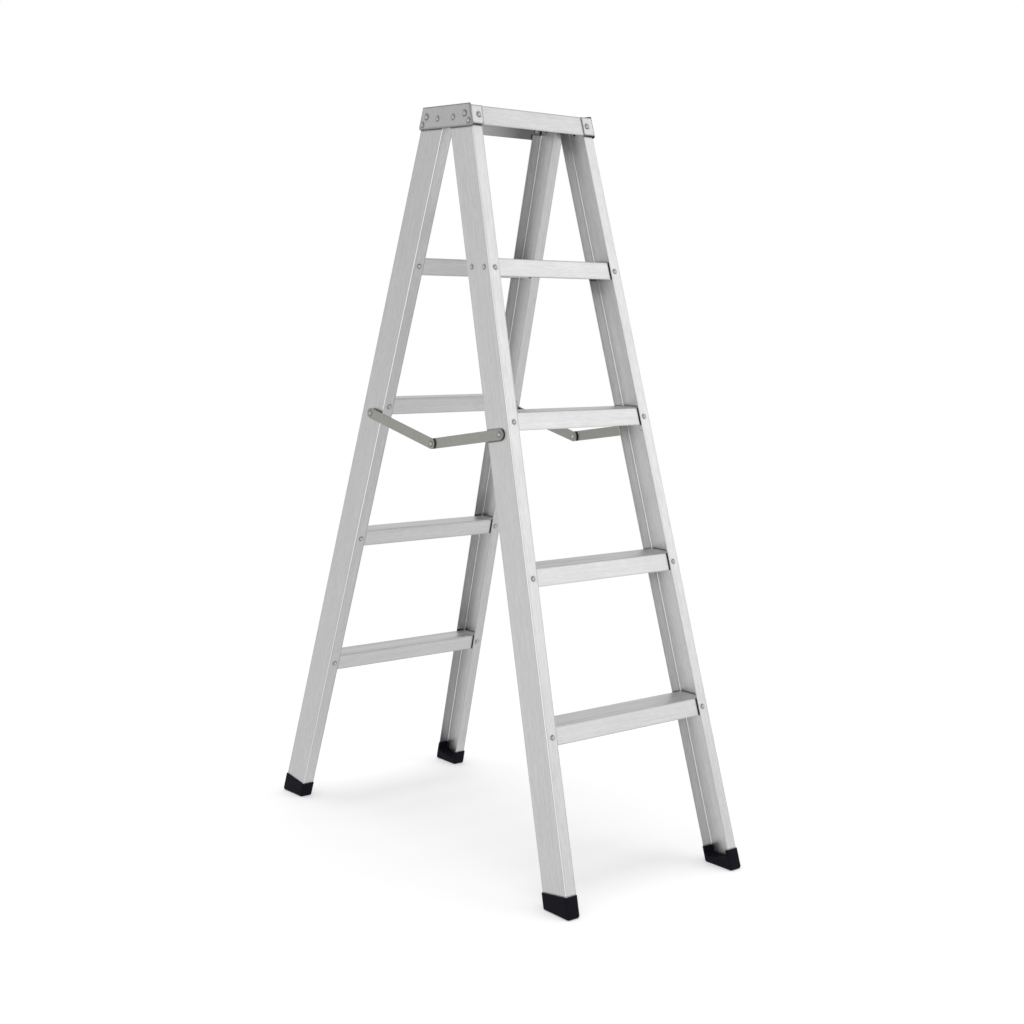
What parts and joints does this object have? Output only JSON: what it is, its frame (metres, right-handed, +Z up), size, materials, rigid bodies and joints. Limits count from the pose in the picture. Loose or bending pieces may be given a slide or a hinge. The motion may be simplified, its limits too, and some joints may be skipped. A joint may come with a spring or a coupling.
{
  "type": "double-sided stepladder",
  "caption": "Double-sided aluminium stepladder standing open: hinged frames of channel stiles and flat treads under a narrow deck, folding side spreaders, rubber feet.",
  "frame": {"origin": "on the floor, under the middle of the deck", "axes": "+X along the treads, +Y from the front frame to the rear frame, +Z up"},
  "size_m": [0.4432, 0.9694, 1.43],
  "materials": {
    "stile": "brushed lengthwise, satin",
    "tread": "brushed lengthwise, satin",
    "deck": "brushed lengthwise, satin",
    "bracket": "mill finish, slightly mottled",
    "rivet": "turned, satin",
    "spreader": "zinc plated, dull",
    "boot": "matt moulded rubber"
  },
  "bodies": {
    "top_cap": {"top_deck": "deck", "left_top_bracket": "bracket", "left_hinge_rivets": "rivet", "left_corner_rivets": "rivet", "left_deck_rivets": "rivet", "right_top_bracket": "bracket", "right_hinge_rivets": "rivet", "right_corner_rivets": "rivet", "right_deck_rivets": "rivet", "front_stop_pins": "rivet", "rear_stop_pins": "rivet"},
    "front_frame": {"front_left_stile": "stile", "front_left_foot": "boot", "front_right_stile": "stile", "front_right_foot": "boot", "front_tread_1": "tread", "front_tread_1_rivets": "rivet", "front_tread_2": "tread", "front_tread_2_rivets": "rivet", "front_tread_3": "tread", "front_tread_3_rivets": "rivet", "front_tread_4": "tread", "front_tread_4_rivets": "rivet", "front_web_rivets": "rivet", "front_left_spreader_pivot": "rivet", "front_left_spreader_spacer": "spreader", "front_right_spreader_pivot": "rivet", "front_right_spreader_spacer": "spreader"},
    "front_left_spreader": {"front_left_spreader_bar": "spreader", "front_left_mid_rivet": "rivet"},
    "front_right_spreader": {"front_right_spreader_bar": "spreader", "front_right_mid_rivet": "rivet"},
    "rear_frame": {"rear_left_stile": "stile", "rear_left_foot": "boot", "rear_right_stile": "stile", "rear_right_foot": "boot", "rear_tread_1": "tread", "rear_tread_1_rivets": "rivet", "rear_tread_2": "tread", "rear_tread_2_rivets": "rivet", "rear_tread_3": "tread", "rear_tread_3_rivets": "rivet", "rear_tread_4": "tread", "rear_tread_4_rivets": "rivet", "rear_left_spreader_pivot": "rivet", "rear_left_spreader_spacer": "spreader", "rear_right_spreader_pivot": "rivet", "rear_right_spreader_spacer": "spreader"},
    "rear_left_spreader": {"rear_left_spreader_bar": "spreader", "rear_left_mid_rivet": "rivet"},
    "rear_right_spreader": {"rear_right_spreader_bar": "spreader", "rear_right_mid_rivet": "rivet"}
  },
  "joints": [
    {"name": "front_fold", "type": "hinge", "parent": "top_cap", "child": "front_frame", "pos_m": [0, -0.0595, 1.412], "axis": [1, 0, 0], "range_deg": [0, 16.2]},
    {"name": "rear_fold", "type": "hinge", "parent": "top_cap", "child": "rear_frame", "pos_m": [0, 0.0595, 1.412], "axis": [-1, 0, 0], "range_deg": [0, 16.2]},
    {"name": "front_left_spreader_fold", "type": "hinge", "parent": "front_frame", "child": "front_left_spreader", "pos_m": [-0.17814, -0.21455, 0.83709], "axis": [-0.9988, 0.0139, 0.0477], "range_deg": [0, 76.08]},
    {"name": "front_right_spreader_fold", "type": "hinge", "parent": "front_frame", "child": "front_right_spreader", "pos_m": [0.18194, -0.2145, 0.83728], "axis": [-0.9988, -0.0139, -0.0477], "range_deg": [0, 76.08]},
    {"name": "rear_left_spreader_fold", "type": "hinge", "parent": "rear_frame", "child": "rear_left_spreader", "pos_m": [-0.18126, 0.19873, 0.84675], "axis": [0.9988, 0.0139, -0.0477], "range_deg": [0, 91.8]},
    {"name": "rear_right_spreader_fold", "type": "hinge", "parent": "rear_frame", "child": "rear_right_spreader", "pos_m": [0.17747, 0.19878, 0.84657], "axis": [0.9988, -0.0139, 0.0477], "range_deg": [0, 91.8]}
  ],
  "couplings": [
    {"joint": "rear_fold", "follows": "front_fold", "ratio": 1},
    {"joint": "front_left_spreader_fold", "follows": "front_fold", "ratio": 4.6965},
    {"joint": "front_right_spreader_fold", "follows": "front_fold", "ratio": 4.6965},
    {"joint": "rear_left_spreader_fold", "follows": "front_fold", "ratio": 5.6667},
    {"joint": "rear_right_spreader_fold", "follows": "front_fold", "ratio": 5.6667}
  ]
}
